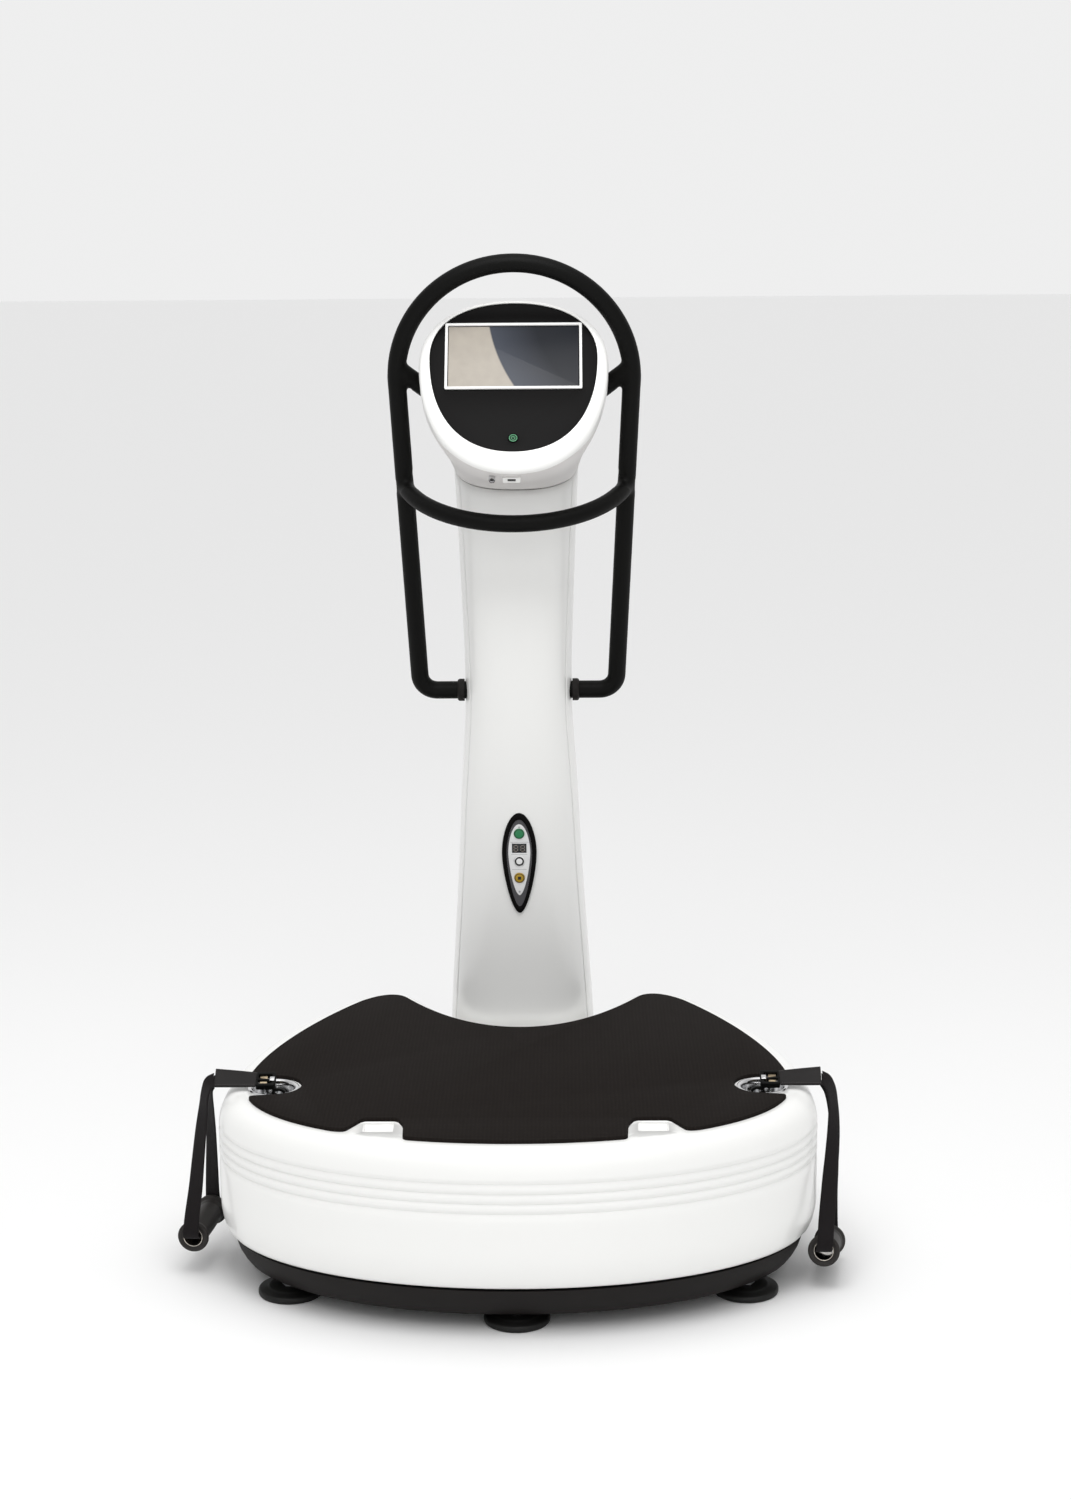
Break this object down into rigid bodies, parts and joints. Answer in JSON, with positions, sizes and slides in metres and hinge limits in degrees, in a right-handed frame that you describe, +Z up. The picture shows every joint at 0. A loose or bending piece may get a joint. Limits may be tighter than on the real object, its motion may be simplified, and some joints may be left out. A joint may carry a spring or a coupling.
{
  "type": "vibration plate",
  "caption": "Floor-standing vibration plate: wide vibrating platform, white column with tilted touch console, black looped handlebar, and strap handles clipped in chrome cups.",
  "frame": {"origin": "on the floor under the middle of the whole machine's footprint", "axes": "+Z up, the user stands at -Y facing +Y, +X to the user's right"},
  "size_m": [1.0444, 1.07, 1.5629],
  "materials": {
    "frame_steel": "black powder coat",
    "tray_plastic": "satin moulded",
    "black_rubber": "matt",
    "mat_rubber": "woven non-slip face",
    "zinc_steel": "zinc plated",
    "plate_steel": "grey primer",
    "white_plastic": "smooth moulded",
    "chrome_cup": "polished",
    "motor_paint": "painted",
    "rotor_steel": "turned",
    "controller_case": "anodised",
    "inlet_plastic": "fine grain",
    "rocker_red": "smooth",
    "bar_paint": "satin powder coat",
    "face_black": "satin",
    "screen_white": "satin",
    "screen_face": "dark touch surface",
    "electronics": "board and module",
    "button_green": "satin",
    "button_white": "satin",
    "button_amber": "satin",
    "socket_metal": "plated",
    "inset_grey": "satin",
    "label_white": "printed film, blank",
    "display_black": "smoked window",
    "hook_black": "satin",
    "gate_steel": "polished",
    "sleeve_leather": "stitched",
    "webbing": "woven polyester",
    "grip_rubber": "ribbed matt",
    "grip_metal": "polished"
  },
  "bodies": {
    "base": {"base_frame": "frame_steel", "base_tray": "tray_plastic", "base_cover": "tray_plastic", "foot_pads": "black_rubber", "foot_studs": "zinc_steel", "foot_nuts": "zinc_steel", "mast": "frame_steel", "mast_bolts": "zinc_steel", "isolators": "black_rubber", "column_front_cover": "white_plastic", "column_rear_cover": "white_plastic", "small_screws": "zinc_steel", "motor_controller": "controller_case", "mains_inlet": "inlet_plastic", "handlebar_loop": "bar_paint", "handlebar_crossbar": "bar_paint", "handlebar_braces": "bar_paint", "handlebar_collars": "inlet_plastic", "console_bracket": "frame_steel", "console_rear_shell": "white_plastic", "console_front_shell": "white_plastic", "faceplate": "face_black", "screen_frame": "screen_white", "screen_glass": "screen_face", "display_module": "electronics", "circuit_boards": "electronics", "audio_jack": "socket_metal", "usb_port": "socket_metal", "remote_bezel": "face_black", "remote_inset": "inset_grey", "remote_label": "label_white", "digit_display": "display_black"},
    "platform": {"platform_plate": "plate_steel", "platform_shroud": "white_plastic", "mat_underlay": "black_rubber", "platform_mat": "mat_rubber", "lift_pockets": "white_plastic", "strap_cups": "chrome_cup", "strap_anchors": "zinc_steel", "motor_housings": "motor_paint", "motor_bearings": "zinc_steel"},
    "left_rotor": {"rotor_left": "rotor_steel"},
    "right_rotor": {"rotor_right": "rotor_steel"},
    "power_key": {"power_button": "button_green"},
    "start_key": {"start_button": "button_green"},
    "repeat_key": {"repeat_button": "button_white"},
    "stop_key": {"stop_button": "button_amber"},
    "mains_key": {"mains_rocker": "rocker_red"},
    "left_sleeve": {"hook_left": "hook_black", "sleeve_left": "sleeve_leather"},
    "right_sleeve": {"hook_right": "hook_black", "sleeve_right": "sleeve_leather"},
    "left_gate": {"hook_gate_left": "gate_steel"},
    "right_gate": {"hook_gate_right": "gate_steel"},
    "left_strap": {"strap_web_left": "webbing"},
    "right_strap": {"strap_web_right": "webbing"},
    "left_handle": {"grip_left": "grip_rubber", "grip_tube_left": "grip_metal"},
    "right_handle": {"grip_right": "grip_rubber", "grip_tube_right": "grip_metal"}
  },
  "joints": [
    {"name": "platform_bounce", "type": "slide", "parent": "base", "child": "platform", "axis": [0, 0, 1], "range_m": [-0.002, 0.002], "stiffness_N_per_m": 400000, "springref_m": 0.00138, "deforming": ["isolators"]},
    {"name": "left_rotor_spin", "type": "hinge", "parent": "platform", "child": "left_rotor", "pos_m": [-0.14, -0.16, 0.19], "axis": [0, 1, 0], "continuous": true},
    {"name": "right_rotor_spin", "type": "hinge", "parent": "platform", "child": "right_rotor", "pos_m": [0.14, -0.16, 0.19], "axis": [0, 1, 0], "continuous": true},
    {"name": "power_press", "type": "slide", "parent": "base", "child": "power_key", "axis": [0, 0.7986, -0.6018], "range_m": [0, 0.0015], "stiffness_N_per_m": 400},
    {"name": "start_press", "type": "slide", "parent": "base", "child": "start_key", "axis": [0, 0.9978, 0.0663], "range_m": [0, 0.0015], "stiffness_N_per_m": 400},
    {"name": "repeat_press", "type": "slide", "parent": "base", "child": "repeat_key", "axis": [0, 0.9978, 0.0663], "range_m": [0, 0.0015], "stiffness_N_per_m": 400},
    {"name": "stop_press", "type": "slide", "parent": "base", "child": "stop_key", "axis": [0, 0.9978, 0.0663], "range_m": [0, 0.0015], "stiffness_N_per_m": 400},
    {"name": "mains_tip", "type": "hinge", "parent": "base", "child": "mains_key", "pos_m": [0.022, 0.51676, 0.118], "axis": [1, 0, 0], "range_deg": [0, 16]},
    {"name": "left_lift", "type": "hinge", "parent": "platform", "child": "left_sleeve", "pos_m": [-0.372, -0.245, 0.282], "axis": [0, 1, 0], "range_deg": [0, 50]},
    {"name": "left_gate_open", "type": "hinge", "parent": "left_sleeve", "child": "left_gate", "pos_m": [-0.3629, -0.245, 0.2873], "axis": [0, 1, 0], "range_deg": [0, 12], "stiffness_Nm_per_rad": 0.02},
    {"name": "left_swing", "type": "hinge", "parent": "left_sleeve", "child": "left_strap", "pos_m": [-0.4705, -0.245, 0.3185], "axis": [0, 1, 0], "range_deg": [0, 60]},
    {"name": "left_grip_spin", "type": "hinge", "parent": "left_strap", "child": "left_handle", "pos_m": [-0.4994, -0.23009, 0.066], "axis": [0.1355, 0.9908, 0], "continuous": true},
    {"name": "right_lift", "type": "hinge", "parent": "platform", "child": "right_sleeve", "pos_m": [0.372, -0.245, 0.282], "axis": [0, -1, 0], "range_deg": [0, 50]},
    {"name": "right_gate_open", "type": "hinge", "parent": "right_sleeve", "child": "right_gate", "pos_m": [0.3629, -0.245, 0.2873], "axis": [0, -1, 0], "range_deg": [0, 12], "stiffness_Nm_per_rad": 0.02},
    {"name": "right_swing", "type": "hinge", "parent": "right_sleeve", "child": "right_strap", "pos_m": [0.4705, -0.245, 0.3185], "axis": [0, -1, 0], "range_deg": [0, 60]},
    {"name": "right_grip_spin", "type": "hinge", "parent": "right_strap", "child": "right_handle", "pos_m": [0.47888, -0.2944, 0.05146], "axis": [0.1713, 0.9543, -0.2447], "continuous": true}
  ],
  "couplings": [
    {"joint": "right_rotor_spin", "follows": "left_rotor_spin", "ratio": -1}
  ]
}
